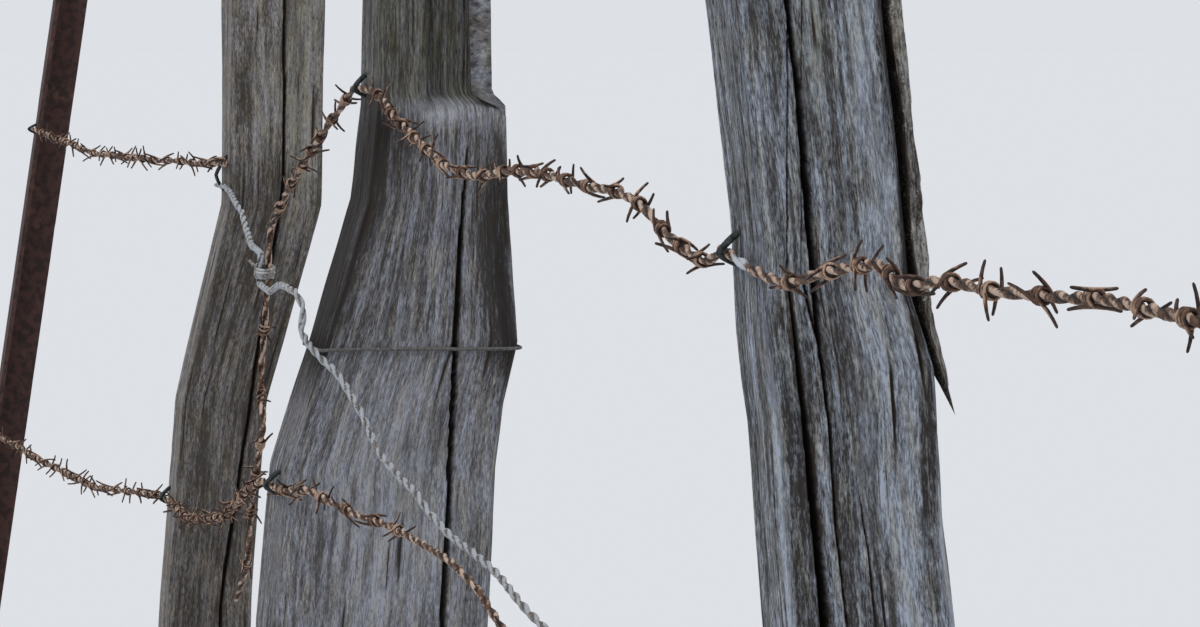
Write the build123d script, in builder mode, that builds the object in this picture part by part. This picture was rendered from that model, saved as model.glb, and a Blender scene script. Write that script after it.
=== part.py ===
from build123d import *
from dataclasses import dataclass
from math import cos, hypot, radians, sin, tan
import os

from numpy import interp

os.makedirs("parts", exist_ok=True)

# An old stock fence: split timber posts, one steel stake, barbed strands and a repair wire.
# Millimetres. Posts stand along X, level ground is z = 0, strands run over the -Y faces.

# Driving dimensions
bay = 1350.0
corner_bevel = 7.0

strand_r = 2.8
seat_gap = 0.3

barb_wire = 2.2
barb_reach = 15.0
barb_splay = 28.0
barb_start = 90.0
barb_spacing = 68.0
barb_slide = 18.0
barb_beat = 0.86
barb_phase = 0.75
barb_turn = 47.0

staple_wire = 3.2
staple_tilt = 14.0
staple_bevel = 2.0
leg_gap = 0.05

check_mouth = 2.4
check_start = 1.0
past_face = 10.0

rebate_depth = 10.0
rebate_foot = 1085.0
rebate_run = 40.0

strip_width = 30.0
strip_foot = 1084.0
strip_head = 1345.0
strip_tip = 1061.0
tip_proud = 7.0
strip_edge = 2.0
strip_shoulder = 6.0
strip_fall = 1.2

shoulder_low = 1191.0
shoulder_high = 1207.0
shoulder_depth = 15.0
shoulder_front = -113.0

stake_leg = 40.0
stake_steel = 5.0
stake_head = 1420.0
stake_foot_y = -320.0
stake_slope = 0.148

wrap_wire = 2.6
wrap_height = 1026.0
wrap_fall = 8.0

splice = Vector(-1900, -158, 1058)
splice_slope = 70.0
splice_length = 26.0
ring_room = 1.4
ring_thick = 2.6
ring_pitch = 5.0

# Heights of each strand and of the repair wire where they reach the uprights, from the stake on
stake_top, top_1, top_2, top_3, top_4, top_5 = 1140, 1128, 1211, 1143, 1150, 1165
top_fall = 9.0
second_heights = (790, 812, 926, 846, 866, 880)
third_heights = (520, 566, 598, 590, 574, 590)
bottom_heights = (262, 296, 318, 300, 304, 290)
plain_1, plain_3 = 1108, 872


@dataclass
class Post:
    """An upright: the y of its front and back at each level, straight from level to level."""

    x: float
    depth: float
    levels: tuple
    fronts: tuple
    backs: tuple

    @property
    def head(self):
        return self.levels[-1]

    @property
    def near_end(self):
        return self.x + self.depth / 2

    @property
    def far_end(self):
        return self.x - self.depth / 2

    def front(self, z):
        return float(interp(z, self.levels, self.fronts))

    def back(self, z):
        return float(interp(z, self.levels, self.backs))

    def slope(self, z):
        """How far the front face moves in y for each unit of height."""
        return (self.front(z + 1) - self.front(z - 1)) / 2

    def seat(self, z, out=0.0):
        """The y of a strand's centre line where it lies on the front face, or out in front of it."""
        return self.front(z) - (strand_r + seat_gap) * hypot(1, self.slope(z)) - out


stake_front = stake_foot_y - stake_leg / 2
stake_back = stake_foot_y + stake_leg / 2
stake_lean = stake_slope * stake_head

stake = Post(
    x=-3 * bay,
    depth=stake_leg,
    levels=(0, stake_head),
    fronts=(stake_front, stake_front + stake_lean),
    backs=(stake_back, stake_back + stake_lean),
)
post_1 = Post(
    x=-2 * bay,
    depth=84.0,
    levels=(0, 720, 906, 1090, 1330),
    fronts=(-198, -163, -148, -103, -101),
    backs=(-102, -82, -67, -14, -10),
)
post_2 = Post(
    x=-bay,
    depth=100.0,
    levels=(0, 824, 940, 987, 1030, 1131, 1200, 1209, 1400),
    fronts=(-240, -229, -218, -203, -189, -159, -151.5, -151.3, -148),
    backs=(-88, -71, -65, -59, -48, -55, -57, -67, -69),
)
post_3 = Post(
    x=0.0,
    depth=72.0,
    levels=(0, 960, 1040, 1150, 1385),
    fronts=(-45, -133.5, -140, -148.3, -177),
    backs=(45, -44, -51.5, -60.5, -86.5),
)
post_4 = Post(
    x=bay,
    depth=88.0,
    levels=(0, 640, 1340),
    fronts=(-120, -128, -142),
    backs=(-8, -24, -44),
)
post_5 = Post(x=2 * bay, depth=96.0, levels=(0, 1360), fronts=(-168, -138), backs=(-58, -36))
uprights = (stake, post_1, post_2, post_3, post_4, post_5)


def timber(post):
    """A post before it is worked: a ruled loft of bevelled rectangles through its levels."""
    with BuildPart() as log:
        for z, front, back in zip(post.levels, post.fronts, post.backs):
            with BuildSketch(Plane.XY.offset(z)) as section:
                with Locations((post.x, (front + back) / 2)):
                    Rectangle(post.depth, back - front)
                chamfer(section.vertices(), corner_bevel)
        loft(ruled=True)
    return log.part


def drying_check(face_x, inward, depth, stations):
    """A wedge-shaped split up an end face. A station is its height, its y and its share open."""
    with BuildPart() as wedge:
        for z, y, share in stations:
            mouth = check_mouth * share
            outside = face_x - inward * check_start
            with BuildSketch(Plane.XY.offset(z)):
                with BuildLine():
                    Polyline(
                        (outside, y - mouth),
                        (face_x + inward * depth * share, y),
                        (outside, y + mouth),
                        close=True,
                    )
                make_face()
        loft(ruled=True)
    return wedge.part


def head_cut(post, along, across):
    """The plane of a weathered head, tilted by so many degrees along and across the fence."""
    middle = (post.front(post.head) + post.back(post.head)) / 2
    half = max(post.depth, post.back(post.head) - post.front(post.head)) / 2
    drop = half * (tan(radians(abs(along))) + tan(radians(abs(across))))
    return Plane(origin=(post.x, middle, post.head - drop)).rotated((across, along, 0))


# A steel angle, driven in at a lean
with BuildPart() as steel_stake:
    for z in stake.levels:
        with BuildSketch(Plane.XY.offset(z)):
            with Locations((stake.far_end, stake.front(z))):
                Rectangle(stake_leg, stake_steel, align=(Align.MIN, Align.MIN))
                Rectangle(stake_steel, stake_leg, align=(Align.MIN, Align.MIN))
    loft(ruled=True)
steel_stake.part.label = "steel_stake"
export_step(steel_stake.part, "parts/steel_stake.step")

# The crooked post beside the stake
with BuildPart() as timber_post_1:
    add(timber(post_1))
    opening = [(80, -130, 0.2), (720, -112, 1.0), (1113, -52, 1.0), (1340, -50, 1.0)]
    add(drying_check(post_1.near_end, -1, 24, opening), mode=Mode.SUBTRACT)
    split(bisect_by=head_cut(post_1, 6, 2), keep=Keep.BOTTOM)
timber_post_1.part.label = "timber_post_1"
export_step(timber_post_1.part, "parts/timber_post_1.step")

# The stout post, cut back at its head above a sloped shoulder
with BuildPart() as timber_post_2:
    add(timber(post_2))
    with BuildSketch(Plane.XZ.offset(-shoulder_front)):
        with BuildLine():
            Polyline(
                (post_2.near_end, shoulder_low),
                (post_2.near_end - shoulder_depth, shoulder_high),
                (post_2.near_end - shoulder_depth, post_2.head + past_face),
                (post_2.near_end + past_face, post_2.head + past_face),
                (post_2.near_end + past_face, shoulder_low),
                close=True,
            )
        make_face()
    extrude(amount=shoulder_front - post_2.back(shoulder_low) - past_face, mode=Mode.SUBTRACT)
    opening = [(60, -120, 0.5), (700, -110, 1.0), (1090, -92, 1.0), (1180, -86, 0.2)]
    add(drying_check(post_2.near_end, -1, 22, opening), mode=Mode.SUBTRACT)
    split(bisect_by=head_cut(post_2, -3, 4), keep=Keep.BOTTOM)
timber_post_2.part.label = "timber_post_2"
export_step(timber_post_2.part, "parts/timber_post_2.step")


def rebate_floor(z):
    """The y of the face behind the loose strip: the post's back, sunk by the rebate above its foot."""
    return post_3.back(z) - rebate_depth * float(interp(z, (rebate_foot, rebate_foot + rebate_run), (0, 1)))


# The post with two long checks and a rebate where its sapwood has split away
with BuildPart() as timber_post_3:
    add(timber(post_3))
    upper = [(1040, -109, 0.1), (1089, -113, 0.5), (1139, -118, 0.9), (1240, -129, 1), (1390, -146, 1)]
    lower = [(60, -34, 0.5), (500, -72, 1.0), (957, -112, 1.3), (1070, -124, 0.7), (1135, -132, 0.1)]
    short = [(930, -84, 0.1), (988, -90, 0.4), (1040, -98, 0.1)]
    for opening, depth in ((upper, 30), (lower, 26), (short, 14)):
        add(drying_check(post_3.near_end, -1, depth, opening), mode=Mode.SUBTRACT)
    with BuildSketch(Plane.YZ.offset(post_3.x)):
        full_depth = rebate_foot + rebate_run
        floor_levels = [rebate_foot, full_depth] + [z for z in post_3.levels if z > full_depth]
        with BuildLine():
            Polyline(
                *[(rebate_floor(z), z) for z in floor_levels],
                (rebate_floor(post_3.head), post_3.head + past_face),
                (post_3.back(rebate_foot), post_3.head + past_face),
                close=True,
            )
        make_face()
    extrude(amount=post_3.depth, both=True, mode=Mode.SUBTRACT)
    split(bisect_by=head_cut(post_3, 4, 3), keep=Keep.BOTTOM)
timber_post_3.part.label = "timber_post_3"
export_step(timber_post_3.part, "parts/timber_post_3.step")

# The strip that still hangs in that rebate and peels away to a point at its foot. A station is
# its share of the way up, its gap to the rebate at the near edge and how far it stands proud.
strip_stations = (
    (0, 0.3, 4.6),
    (0.08, 0.3, 1.0),
    (0.25, 1.4, 0.2),
    (0.45, 3.0, 0.4),
    (0.58, 2.6, 0.0),
    (1, 1.0, -0.5),
)
with BuildPart() as sapwood_strip:
    for share, gap, proud in strip_stations:
        z = strip_foot + share * (strip_head - strip_foot)
        outer = post_3.back(z) + proud
        with BuildSketch(Plane.XY.offset(z)):
            with BuildLine():
                Polyline(
                    (post_3.near_end, rebate_floor(z) + gap),
                    (post_3.near_end - strip_edge, outer),
                    (post_3.near_end - strip_width + strip_shoulder, outer - strip_fall),
                    (post_3.near_end - strip_width, rebate_floor(z) + seat_gap),
                    close=True,
                )
            make_face()
    loft(ruled=True)
    foot = sapwood_strip.faces().sort_by(Axis.Z)[0]
    point = Vertex(post_3.near_end - strip_edge, post_3.back(strip_tip) + tip_proud, strip_tip)
    loft(sections=[foot, point], ruled=True)
sapwood_strip.part.label = "sapwood_strip"
export_step(sapwood_strip.part, "parts/sapwood_strip.step")

with BuildPart() as timber_post_4:
    add(timber(post_4))
    opening = [(60, -70, 0.2), (640, -74, 1.0), (1350, -92, 1.0)]
    add(drying_check(post_4.far_end, 1, 24, opening), mode=Mode.SUBTRACT)
    split(bisect_by=head_cut(post_4, -5, 3), keep=Keep.BOTTOM)
timber_post_4.part.label = "timber_post_4"
export_step(timber_post_4.part, "parts/timber_post_4.step")

with BuildPart() as timber_post_5:
    add(timber(post_5))
    opening = [(300, -110, 0.2), (900, -98, 1.0), (1370, -84, 1.0)]
    add(drying_check(post_5.far_end, 1, 26, opening), mode=Mode.SUBTRACT)
    split(bisect_by=head_cut(post_5, 3, -5), keep=Keep.BOTTOM)
timber_post_5.part.label = "timber_post_5"
export_step(timber_post_5.part, "parts/timber_post_5.step")


def over(post, z, out=0.0, fall=0.0):
    """The two points where a wire runs over a post's front face, level or falling towards +X."""
    return [(post.far_end, post.seat(z, out), z), (post.near_end, post.seat(z - fall, out), z - fall)]


def crossing(post, z, fall, x):
    """Height of such a wire at x from the post's middle."""
    return z - fall * (0.5 + x / post.depth)


def sagging(start, end, bends):
    """Points between two ends, each a share of the way, then raised and moved towards +Y."""
    points = []
    for share, rise, inward in bends:
        x, y, z = (p + share * (q - p) for p, q in zip(start, end))
        points.append((x, y + inward, z + rise))
    return points


def route(seats, bends_by_bay):
    """A strand over a row of seats on posts, with the bends of each bay between them."""
    points = over(*seats[0])
    for seat, bends in zip(seats[1:], bends_by_bay):
        landing = over(*seat)
        points += sagging(points[-1], landing[0], bends) + landing
    return points


# The top strand snapped behind the second post. Its tail springs from that post and hangs.
lay = Vector(cos(radians(splice_slope)), 0, sin(radians(splice_slope)))
knot_top = splice + lay * splice_length / 2
knot_foot = splice - lay * splice_length / 2
tail = [
    (-2200, -150, 763),
    (-2090, -152, 808),
    (-2045, -155, 861),
    (-1935, -158, 930),
    (-1955, -158, 967),
    (-1925, -158, 1010),
    knot_foot,
    knot_top,
    (-1882, -158, 1094),
    (-1762, -158, 1129),
    (-1636, -157, 1159),
    (-1516, -156, 1186),
]
top_seats = ((post_2, top_2), (post_3, top_3, 0, top_fall), (post_4, top_4), (post_5, top_5))
top_bends = (
    (
        (0.09, -13, 0),
        (0.2, -24, 0),
        (0.27, -29, 0),
        (0.37, -26, 1),
        (0.48, -11, 2),
        (0.58, -4, 1),
        (0.68, 0, 0),
        (0.77, 5, 0),
        (0.83, 3, 0),
        (0.88, -6, 0),
        (0.92, -10, 0),
        (0.96, -12, 0),
        (0.985, -8, 0),
    ),
    (
        (0.037, -3.5, 0),
        (0.08, -3, 0),
        (0.12, 3, 1),
        (0.167, 7, 0),
        (0.217, 10, 0),
        (0.237, 6, 0),
        (0.253, 0, 0),
        (0.272, 2, 0),
        (0.302, 6, 1),
        (0.38, 4, 0),
        (0.46, 5, 1),
        (0.52, 6, 0),
        (0.8, -5, 1),
    ),
    ((0.3, -8, -2), (0.62, -5, 3)),
)
second_bends = (
    ((0.3, -12, 3), (0.66, -16, -3)),
    ((0.25, -18, -2), (0.6, -22, 2), (0.85, -6, 0)),
    (
        (0.08, 14, 0),
        (0.2, 20, 0),
        (0.31, 28, 1),
        (0.43, 31, 0),
        (0.49, 24, 0),
        (0.54, 11, 0),
        (0.6, -1, 0),
        (0.67, -10, -1),
        (0.83, -10, 0),
    ),
    ((0.3, -12, 2), (0.7, -10, -2)),
    ((0.4, -14, -3), (0.75, -6, 2)),
)
third_bends = (
    ((0.4, -14, 4), (0.8, -8, -1)),
    ((0.35, -20, -3), (0.7, -14, 2)),
    ((0.3, -12, 3), (0.65, -17, -2)),
    ((0.35, -15, -3), (0.7, -10, 2)),
    ((0.5, -13, 3),),
)
bottom_bends = (
    ((0.5, -18, -3),),
    ((0.3, -16, 3), (0.68, -20, -3)),
    ((0.35, -18, -2), (0.7, -12, 3)),
    ((0.3, -12, 2), (0.6, -18, -3)),
    ((0.45, -16, 2),),
)
routes = {
    "top": tail + route(top_seats, top_bends),
    "top_end": route(((stake, stake_top), (post_1, top_1)), (((0.35, -14, 3), (0.7, -8, -4)),)),
    "second": route(tuple(zip(uprights, second_heights)), second_bends),
    "third": route(tuple(zip(uprights, third_heights)), third_bends),
    "bottom": route(tuple(zip(uprights, bottom_heights)), bottom_bends),
}
routes["top_end"] += [
    (post_1.near_end + 28, post_1.seat(top_1, 6), top_1 + 8),
    (post_1.near_end + 50, post_1.seat(top_1, 22), top_1 + 3),
]

# The repair wire: from the first post to the knot, over the wrapped post, down to the third
beside = Vector(0, -2 * strand_r - seat_gap, 0)
plain_route = over(post_1, plain_1)
plain_route += [
    (-2375, -124, 1092),
    (-2120, -146, 1072),
    knot_top + beside,
    knot_foot + beside,
    (-1790, -170, 1046),
    (-1678, -176, 1057),
    (-1523, -182, 1058),
    (-1450, -186, 1051),
]
plain_route += over(post_2, wrap_height + wrap_fall, wrap_wire + 3 * seat_gap, wrap_fall)
plain_route += [
    (-1221, -193, 1015),
    (-1180, -190, 1006),
    (-1136, -187, 995),
    (-1092, -184, 975),
    (-1043, -182, 964),
    (-986, -180, 957),
    (-931, -178, 952),
    (-884, -175, 941),
    (-817, -172, 933),
    (-747, -170, 930),
    (-686, -167, 924),
    (-622, -165, 916),
    (-566, -162, 906),
    (-400, -148, 884),
    (-200, -138, 874),
]
plain_route += over(post_3, plain_3)


def wire(points):
    """A six-sided bar of the twisted strand's outer size, mitred at each point of its route."""
    with BuildPart() as bar:
        with BuildLine() as path:
            Polyline(*points)
        with BuildSketch(Plane(origin=path.line @ 0, z_dir=path.line % 0)):
            RegularPolygon(strand_r, 6)
        sweep(transition=Transition.RIGHT)
    return bar.part


with BuildPart() as repair_wire:
    add(wire(plain_route))
repair_wire.part.label = "repair_wire"
export_step(repair_wire.part, "parts/repair_wire.step")

# Three turns of tie wire hold the repair wire against the broken tail
ring_inner = 2 * strand_r + ring_room
ring_outer = ring_inner + ring_thick
with BuildPart() as splice_knot:
    for turn in (-1, 0, 1):
        centre = splice + beside / 2 + lay * turn * ring_pitch
        with BuildSketch(Plane(origin=centre, x_dir=(0, 1, 0), z_dir=lay)):
            RegularPolygon(ring_outer, 6)
            RegularPolygon(ring_inner, 6, mode=Mode.SUBTRACT)
        extrude(amount=ring_thick / 2, both=True)
splice_knot.part.label = "splice_knot"
export_step(splice_knot.part, "parts/splice_knot.step")

# A turn of wire round the second post, under the repair wire
with BuildPart() as wire_wrap:
    front = post_2.front(wrap_height - wrap_wire / 2) - seat_gap
    back = post_2.back(wrap_height + wrap_wire / 2) + seat_gap
    for grow, mode in ((wrap_wire, Mode.ADD), (0, Mode.SUBTRACT)):
        with BuildSketch(Plane.XY.offset(wrap_height)) as loop:
            with Locations((post_2.x, (front + back) / 2)):
                Rectangle(post_2.depth + 2 * (seat_gap + grow), back - front + 2 * grow)
            chamfer(loop.vertices(), corner_bevel)
        extrude(amount=wrap_wire / 2, both=True, mode=mode)
wire_wrap.part.label = "wire_wrap"
export_step(wire_wrap.part, "parts/wire_wrap.step")

# One barb: two pointed wires cross on opposite sides of the strand, which gives four points
with BuildPart() as barb:
    for side in (1, -1):
        across = Plane(origin=(0, side * (strand_r + barb_wire / 2), 0)).rotated((0, side * barb_splay, 0))
        with BuildSketch(across) as waist:
            Rectangle(barb_wire, barb_wire)
        left = Vertex(*(across.origin - across.z_dir * barb_reach))
        right = Vertex(*(across.origin + across.z_dir * barb_reach))
        loft(sections=[left, waist.sketch.face(), right], ruled=True)

repair_line = Polyline(*plain_route)


def clear(place):
    """A barb's points reach neither a post nor the repair wire and the turns of its knot."""
    off_posts = all(abs(place.X - post.x) > post.depth / 2 + barb_reach for post in uprights)
    off_knot = (place - splice).length > barb_reach + ring_outer + ring_pitch
    return off_posts and off_knot and repair_line.distance_to(place) > barb_reach + strand_r


def barb_places(points):
    """Places along a strand, unevenly apart, each turned a little further round it."""
    line = Polyline(*points)
    places = []
    for i in range(int((line.length - barb_start) / barb_spacing)):
        slide = barb_slide * sin(i * barb_beat + barb_phase)
        share = (barb_start + i * barb_spacing + slide) / line.length
        along = line % share
        seat = Plane(origin=line @ share, x_dir=along, z_dir=along.cross(Vector(0, 1, 0)))
        if clear(seat.origin):
            places.append(seat.location * Rot(X=i * barb_turn))
    return places


for name, points in routes.items():
    places = barb_places(points)
    with BuildPart() as strand:
        add(wire(points))
    strand.part.label = f"{name}_strand"
    export_step(strand.part, f"parts/{name}_strand.step")
    with BuildPart() as barbs:
        with Locations(*places):
            add(barb.part)
    barbs.part.label = f"{name}_barbs"
    export_step(barbs.part, f"parts/{name}_barbs.step")


def staple(post, x, z):
    """A staple over a strand: its two legs stop on the post's face, its crown clears the wire."""
    reach = strand_r + seat_gap
    lean = radians(staple_tilt)
    half = reach / cos(lean) + staple_wire / 2 * tan(lean)
    face_y = post.front(z) - leg_gap
    side = Plane(origin=(x, face_y, z), x_dir=(0, post.slope(z), 1), z_dir=(1, 0, 0))
    with BuildPart() as bent:
        with BuildSketch(Plane(side.location * Rot(Y=-staple_tilt))) as profile:
            Rectangle(2 * (half + staple_wire), 2 * reach + staple_wire, align=(Align.CENTER, Align.MIN))
            chamfer(profile.vertices().group_by(Axis.Y)[0], staple_bevel)
            Rectangle(2 * half, 2 * reach, align=(Align.CENTER, Align.MIN), mode=Mode.SUBTRACT)
        extrude(amount=staple_wire / 2, both=True)
    return bent.part


def rows(number, *offsets):
    """Staple places of the second, third and bottom strands on one upright, at x from its middle."""
    heights = (second_heights[number], third_heights[number], bottom_heights[number])
    return tuple(zip(offsets, heights))


top_3_x = -17
staple_seats = {
    "stake_ties": (stake, ((0, stake_top),) + rows(0, 0, 0, 0)),
    "staples_post_1": (post_1, ((8, top_1), (-14, plain_1)) + rows(1, -10, 12, -6)),
    "staples_post_2": (post_2, ((-16, top_2),) + rows(2, 12, -9, 14)),
    "staples_post_3": (
        post_3,
        ((top_3_x, crossing(post_3, top_3, top_fall, top_3_x)), (-12, plain_3)) + rows(3, 6, 9, -5),
    ),
    "staples_post_4": (post_4, ((10, top_4),) + rows(4, -12, 4, -8)),
    "staples_post_5": (post_5, ((-12, top_5),) + rows(5, 9, -4, 12)),
}
for name, (post, seats) in staple_seats.items():
    with BuildPart() as row:
        for x, z in seats:
            add(staple(post, post.x + x, z))
    row.part.label = name
    export_step(row.part, f"parts/{name}.step")
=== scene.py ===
from dataclasses import dataclass
from math import pi, radians

import bpy
import numpy as np
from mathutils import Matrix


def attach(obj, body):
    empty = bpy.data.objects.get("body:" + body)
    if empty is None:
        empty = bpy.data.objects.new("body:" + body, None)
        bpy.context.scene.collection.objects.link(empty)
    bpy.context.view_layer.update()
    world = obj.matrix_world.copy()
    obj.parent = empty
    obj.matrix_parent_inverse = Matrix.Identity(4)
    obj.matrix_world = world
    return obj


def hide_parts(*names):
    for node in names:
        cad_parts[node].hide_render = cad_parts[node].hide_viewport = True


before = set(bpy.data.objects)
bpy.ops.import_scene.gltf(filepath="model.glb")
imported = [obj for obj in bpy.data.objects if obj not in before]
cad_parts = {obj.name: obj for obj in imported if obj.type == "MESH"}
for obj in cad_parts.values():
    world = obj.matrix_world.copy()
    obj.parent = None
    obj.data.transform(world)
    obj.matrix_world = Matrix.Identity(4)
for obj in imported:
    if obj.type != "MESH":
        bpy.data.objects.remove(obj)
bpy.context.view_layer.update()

# Metres. The posts stand along X, level ground is z = 0 and the strands run over the -Y faces.
MM = 0.001

# A long lens close to the line of the fence, at about the height of the top strand
CAMERA_PLACE = (2.9345, -0.737, 1.25)
CAMERA_TURN = (90 - 2.66, 0.0, 80.0)
LENS = 180.0

# Wire sizes, as on the solids
STRAND_R = 2.8 * MM
PLY_R = 1.6 * MM
BARB_R = 1.0 * MM
BARB_REACH = 15.0 * MM
BARB_LEAN = radians(28)
STAPLE_R = 1.6 * MM
TIE_R = 1.2 * MM
WRAP_R = 1.3 * MM

# The length in which the plies of a strand and of the repair wire make a turn, and a barb's turns
STRAND_PITCH = 58 * MM
REPAIR_PITCH = 60 * MM
BARB_TURNS = 2

# A coil moves on by so many thicknesses of its wire a turn, and lies so snug on the strand's radius
COIL_LEAD = 2.1
COIL_SNUG = 0.82

# How far the bends of a route are eased
BEND_EASE = 9 * MM

# Where the staple has kept the top strand's zinc from rusting: the middle and half length in x
BARE_PLACE = (14 * MM, 18 * MM)

# The random fields that weather the timber: their rows, and the height and width of a cell
FIELD_ROWS = 760
FIELD_CELL = (2 * MM, 0.6 * MM)

# The head of a post: the rings that close it, the height in which its sides fit themselves to it,
# how far down its slant reaches, and the run below that whose lean goes on
HEAD_RINGS = 18
HEAD_FIT = 140 * MM
HEAD_SLANT = 60 * MM
LEAN_RUN = 50 * MM

# Where the second post is cut back: from and to these heights and y, and how deep
SHOULDER_RISE = (1.191, 1.207)
SHOULDER_EDGE = (-0.116, -0.113)
SHOULDER_CUT = 15 * MM

FLOOR_R = 400.0
FLOOR_SIDES = 64
FLOOR_COLOR = (0.72, 0.73, 0.75, 1)
BACKDROP = (0.723, 0.745, 0.783, 1)
AMBIENT, AMBIENT_STRENGTH = (0.93, 0.96, 1.0, 1), 0.55

# The sides of a post, in the order in which its columns run
FRONT, NEAR, BACK, FAR = range(4)


# Reading the solids


def cad_triangles(node):
    """The node's triangles, an array of (triangle, corner, xyz)."""
    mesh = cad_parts[node].data
    points = np.empty(3 * len(mesh.vertices), dtype=np.float32)
    mesh.vertices.foreach_get("co", points)
    corners = np.empty(len(mesh.loops), dtype=np.int32)
    mesh.loops.foreach_get("vertex_index", corners)
    return points.reshape(-1, 3)[corners].reshape(-1, 3, 3).astype(float)


def cad_points(node):
    """The node's corners, each once, to a hundredth of a millimetre."""
    return np.unique(np.round(cad_triangles(node).reshape(-1, 3), 5), axis=0)


def extents_at(node, heights):
    """The x and y limits of the node at each height: far x, near x, front y and back y.

    A level plane cuts each triangle's edge at the share (z - z0) / (z1 - z0) of its way.
    """
    triangles = cad_triangles(node)
    start = triangles.reshape(-1, 3)
    end = np.roll(triangles, -1, axis=1).reshape(-1, 3)
    rise = end[:, 2] - start[:, 2]
    share = (heights[:, None] - start[:, 2]) / np.where(np.abs(rise) < 1e-7, np.nan, rise)
    share[(share < 0) | (share > 1)] = np.nan
    x = start[:, 0] + share * (end[:, 0] - start[:, 0])
    y = start[:, 1] + share * (end[:, 1] - start[:, 1])
    return np.nanmin(x, 1), np.nanmax(x, 1), np.nanmin(y, 1), np.nanmax(y, 1)


def head_plane(node):
    """A point and the upward normal of the node's highest slanting top face."""
    triangles = cad_triangles(node)
    normals = np.cross(triangles[:, 1] - triangles[:, 0], triangles[:, 2] - triangles[:, 0])
    size = np.linalg.norm(normals, axis=1)
    normals /= np.maximum(size, 1e-12)[:, None]
    middle = triangles[:, :, 2].mean(1)
    rank = np.where(normals[:, 2] > 0.9, middle + size, -1)
    top = np.argmax(rank)
    return triangles[top, 0], normals[top]


def centre_line(node):
    """The route of a swept bar: the middle of each ring of corners, in order from the far end.

    Corners within one bar's width of each other are a ring, and a triangle that touches
    two rings says that they are neighbours.
    """
    triangles = cad_triangles(node)
    points = cad_points(node)
    gap = np.linalg.norm(points[:, None] - points[None], axis=2)
    ring = np.argmax(gap < 2.6 * STRAND_R, axis=1)
    labels, ring = np.unique(ring, return_inverse=True)
    middles = np.array([points[ring == i].mean(0) for i in range(len(labels))])
    near = np.argmin(np.linalg.norm(triangles[:, :, None] - middles, axis=3), axis=2)
    pairs = np.sort(np.unique(np.concatenate([near[:, :2], near[:, 1:]]), axis=0), axis=1)
    links = {tuple(pair) for pair in pairs if pair[0] != pair[1]}
    touching = {i: {a + b - i for a, b in links if i in (a, b)} for i in range(len(middles))}
    ends = [i for i in touching if len(touching[i]) == 1]
    walk = [min(ends, key=lambda i: middles[i, 0])]
    while len(walk) < len(middles):
        walk += [i for i in touching[walk[-1]] if i not in walk]
    return middles[walk]


# Making meshes


def new_piece(name, points, faces, material, replaced, attributes=None):
    """A smooth mesh on the root body, from arrays of points and of faces with equal sides."""
    mesh = bpy.data.meshes.new(name)
    sides = np.concatenate([np.full(len(group), group.shape[1]) for group in faces])
    corners = np.concatenate([group.ravel() for group in faces])
    mesh.vertices.add(len(points))
    mesh.vertices.foreach_set("co", points.astype(np.float32).ravel())
    mesh.loops.add(len(corners))
    mesh.loops.foreach_set("vertex_index", corners.astype(np.int32))
    mesh.polygons.add(len(sides))
    mesh.polygons.foreach_set("loop_start", (np.cumsum(sides) - sides).astype(np.int32))
    mesh.polygons.foreach_set("use_smooth", np.ones(len(sides), dtype=bool))
    mesh.update(calc_edges=True)
    for label, values in (attributes or {}).items():
        kind, key = ("FLOAT_VECTOR", "vector") if values.ndim == 2 else ("FLOAT", "value")
        layer = mesh.attributes.new(label, kind, "POINT")
        layer.data.foreach_set(key, values.astype(np.float32).ravel())
    mesh.validate()
    mesh.materials.append(material)
    piece = bpy.data.objects.new(name, mesh)
    bpy.context.scene.collection.objects.link(piece)
    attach(piece, "root")
    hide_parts(*replaced)
    return piece


def unit(vectors):
    return vectors / np.maximum(np.linalg.norm(vectors, axis=-1, keepdims=True), 1e-12)


def full_turn(count):
    """Angles in even steps round a circle."""
    return np.linspace(0, 2 * pi, count, endpoint=False)


def spread_axis(points, rank):
    """A principal axis of the points. The one in which they spread least is 0."""
    return np.linalg.eigh(np.cov(points.T))[1][:, rank]


def wrapped_grid(rows, columns):
    """Faces of a grid whose last column meets its first."""
    row, column = np.meshgrid(np.arange(rows - 1), np.arange(columns), indexing="ij")
    beside = (column + 1) % columns
    corners = [row * columns + column, row * columns + beside]
    corners += [(row + 1) * columns + beside, (row + 1) * columns + column]
    return np.stack(corners, axis=-1).reshape(-1, 4)


def fan(ring, middle, upward):
    """Triangles from a ring of point numbers to the point in its middle."""
    after = np.roll(ring, -1)
    pair = (ring, after) if upward else (after, ring)
    return np.stack([*pair, np.full(len(ring), middle)], axis=1)


def tubes(paths, normals, radii, sides):
    """Round wires along many paths of equal count, with closed ends.

    Each ring is path + radius (normal cos a + binormal sin a), for a from 0 to a full turn.
    """
    wires, count = paths.shape[:2]
    tangents = unit(np.gradient(paths, axis=1))
    normals = unit(normals - (normals * tangents).sum(-1, keepdims=True) * tangents)
    binormals = np.cross(tangents, normals)
    angles = full_turn(sides)[:, None]
    rings = normals[:, :, None] * np.cos(angles) + binormals[:, :, None] * np.sin(angles)
    rings = paths[:, :, None] + rings * np.broadcast_to(radii, (wires, count))[..., None, None]
    bodies = rings.reshape(wires, -1, 3)
    points = np.concatenate([bodies, paths[:, :1], paths[:, -1:]], axis=1)
    size = count * sides + 2
    walls = wrapped_grid(count, sides)
    first = fan(np.arange(sides), size - 2, False)
    last = fan(np.arange(sides) + (count - 1) * sides, size - 1, True)
    shift = (np.arange(wires) * size)[:, None, None]
    faces = [(group + shift).reshape(-1, group.shape[1]) for group in (walls, first, last)]
    return points.reshape(-1, 3), faces


# Random fields


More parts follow.
